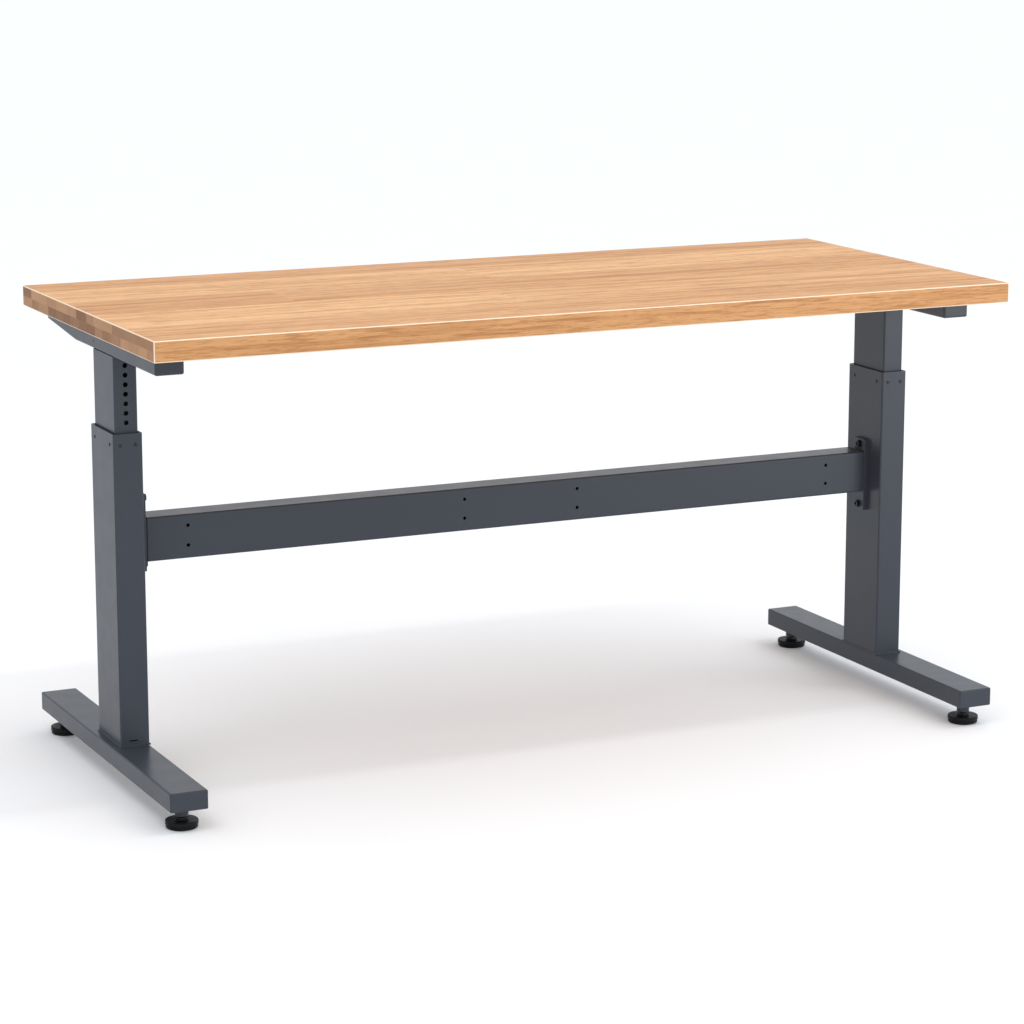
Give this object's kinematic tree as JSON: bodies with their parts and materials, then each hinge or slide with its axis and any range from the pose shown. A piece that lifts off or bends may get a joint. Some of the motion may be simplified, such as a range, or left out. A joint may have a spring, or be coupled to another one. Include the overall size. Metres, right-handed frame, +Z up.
{
  "type": "height-adjustable workbench with linear actuator columns",
  "caption": "Workbench with a laminated hardwood top on two telescoping lifting columns, each with a screw drive inside, T feet with levellers and a stretcher beam.",
  "frame": {"origin": "on the floor, under the middle of the worktop", "axes": "+X along the worktop towards the right leg, -Y towards the front where the square rail ends are, +Z up"},
  "size_m": [1.8, 0.8, 0.916],
  "materials": {
    "oiled_wood": "oiled hardwood, finger-free staves",
    "grey_paint": "dark blue-grey satin powder coat",
    "zinc_steel": "zinc plated",
    "dark_bolt": "black-grey coated steel",
    "glide_plastic": "natural acetal",
    "bronze": "machined bronze",
    "bright_steel": "ground steel",
    "black_casting": "black-painted die casting",
    "motor_black": "black",
    "black_pad": "black glass-filled nylon"
  },
  "bodies": {
    "base": {"left_outer_column": "grey_paint", "right_outer_column": "grey_paint", "left_foot": "grey_paint", "right_foot": "grey_paint", "left_stretcher_bracket": "grey_paint", "right_stretcher_bracket": "grey_paint", "stretcher": "grey_paint", "stretcher_end_plates": "grey_paint", "foot_end_caps": "grey_paint", "leveller_inserts": "grey_paint", "left_base_plate": "grey_paint", "right_base_plate": "grey_paint", "foot_bolts": "zinc_steel", "left_nut_tube": "zinc_steel", "right_nut_tube": "zinc_steel", "bracket_bolts": "dark_bolt", "glide_screws": "dark_bolt", "left_upper_glides": "glide_plastic", "right_upper_glides": "glide_plastic", "left_drive_nut": "bronze", "right_drive_nut": "bronze"},
    "lift": {"worktop": "oiled_wood", "worktop_screws": "zinc_steel", "top_plate_bolts": "zinc_steel", "drive_pillars": "zinc_steel", "left_top_rail": "grey_paint", "right_top_rail": "grey_paint", "left_top_plate": "zinc_steel", "right_top_plate": "zinc_steel", "left_inner_column": "grey_paint", "right_inner_column": "grey_paint", "left_lower_glide": "glide_plastic", "right_lower_glide": "glide_plastic", "left_drive_housing": "black_casting", "right_drive_housing": "black_casting", "left_housing_cover": "black_casting", "right_housing_cover": "black_casting", "left_motor_housing": "motor_black", "right_motor_housing": "motor_black", "left_motor_socket": "motor_black", "right_motor_socket": "motor_black", "left_screw_bearing": "bright_steel", "right_screw_bearing": "bright_steel"},
    "left_screw": {"left_lead_screw": "bright_steel", "left_screw_gear": "bright_steel"},
    "left_rotor": {"left_motor_rotor": "bright_steel", "left_motor_pinion": "bright_steel"},
    "left_front_pad": {"left_front_leveller_pad": "black_pad"},
    "left_front_stud": {"left_front_leveller_stud": "dark_bolt"},
    "left_rear_pad": {"left_rear_leveller_pad": "black_pad"},
    "left_rear_stud": {"left_rear_leveller_stud": "dark_bolt"},
    "right_screw": {"right_lead_screw": "bright_steel", "right_screw_gear": "bright_steel"},
    "right_rotor": {"right_motor_rotor": "bright_steel", "right_motor_pinion": "bright_steel"},
    "right_front_pad": {"right_front_leveller_pad": "black_pad"},
    "right_front_stud": {"right_front_leveller_stud": "dark_bolt"},
    "right_rear_pad": {"right_rear_leveller_pad": "black_pad"},
    "right_rear_stud": {"right_rear_leveller_stud": "dark_bolt"}
  },
  "joints": [
    {"name": "lift", "type": "slide", "parent": "base", "child": "lift", "axis": [0, 0, 1], "range_m": [-0.14, 0.28]},
    {"name": "left_screw_spin", "type": "hinge", "parent": "lift", "child": "left_screw", "pos_m": [-0.843, 0, 0.7], "axis": [0, 0, 1], "range_deg": [-2530, 5050]},
    {"name": "left_rotor_spin", "type": "hinge", "parent": "lift", "child": "left_rotor", "pos_m": [-0.843, 0.02, 0.78], "axis": [0, 0, 1], "range_deg": [-11098, 5554]},
    {"name": "left_front_level", "type": "slide", "parent": "base", "child": "left_front_pad", "axis": [0, 0, -1], "range_m": [-0.002, 0.02]},
    {"name": "left_front_stud_turn", "type": "hinge", "parent": "left_front_pad", "child": "left_front_stud", "pos_m": [-0.851, -0.353, 0.03], "axis": [0, 0, 1], "range_deg": [-4124, 421]},
    {"name": "left_rear_level", "type": "slide", "parent": "base", "child": "left_rear_pad", "axis": [0, 0, -1], "range_m": [-0.002, 0.02]},
    {"name": "left_rear_stud_turn", "type": "hinge", "parent": "left_rear_pad", "child": "left_rear_stud", "pos_m": [-0.851, 0.353, 0.03], "axis": [0, 0, 1], "range_deg": [-4124, 421]},
    {"name": "right_screw_spin", "type": "hinge", "parent": "lift", "child": "right_screw", "pos_m": [0.843, 0, 0.7], "axis": [0, 0, 1], "range_deg": [-2530, 5050]},
    {"name": "right_rotor_spin", "type": "hinge", "parent": "lift", "child": "right_rotor", "pos_m": [0.843, -0.02, 0.78], "axis": [0, 0, 1], "range_deg": [-11098, 5554]},
    {"name": "right_front_level", "type": "slide", "parent": "base", "child": "right_front_pad", "axis": [0, 0, -1], "range_m": [-0.002, 0.02]},
    {"name": "right_front_stud_turn", "type": "hinge", "parent": "right_front_pad", "child": "right_front_stud", "pos_m": [0.851, -0.353, 0.03], "axis": [0, 0, 1], "range_deg": [-4124, 421]},
    {"name": "right_rear_level", "type": "slide", "parent": "base", "child": "right_rear_pad", "axis": [0, 0, -1], "range_m": [-0.002, 0.02]},
    {"name": "right_rear_stud_turn", "type": "hinge", "parent": "right_rear_pad", "child": "right_rear_stud", "pos_m": [0.851, 0.353, 0.03], "axis": [0, 0, 1], "range_deg": [-4124, 421]}
  ],
  "couplings": [
    {"joint": "left_screw_spin", "follows": "lift", "rad_per_m": 314.16},
    {"joint": "left_rotor_spin", "follows": "lift", "rad_per_m": -691.15},
    {"joint": "left_front_stud_turn", "follows": "left_front_level", "rad_per_m": -3590.4},
    {"joint": "left_rear_stud_turn", "follows": "left_rear_level", "rad_per_m": -3590.4},
    {"joint": "right_screw_spin", "follows": "lift", "rad_per_m": 314.16},
    {"joint": "right_rotor_spin", "follows": "lift", "rad_per_m": -691.15},
    {"joint": "right_front_stud_turn", "follows": "right_front_level", "rad_per_m": -3590.4},
    {"joint": "right_rear_stud_turn", "follows": "right_rear_level", "rad_per_m": -3590.4}
  ]
}
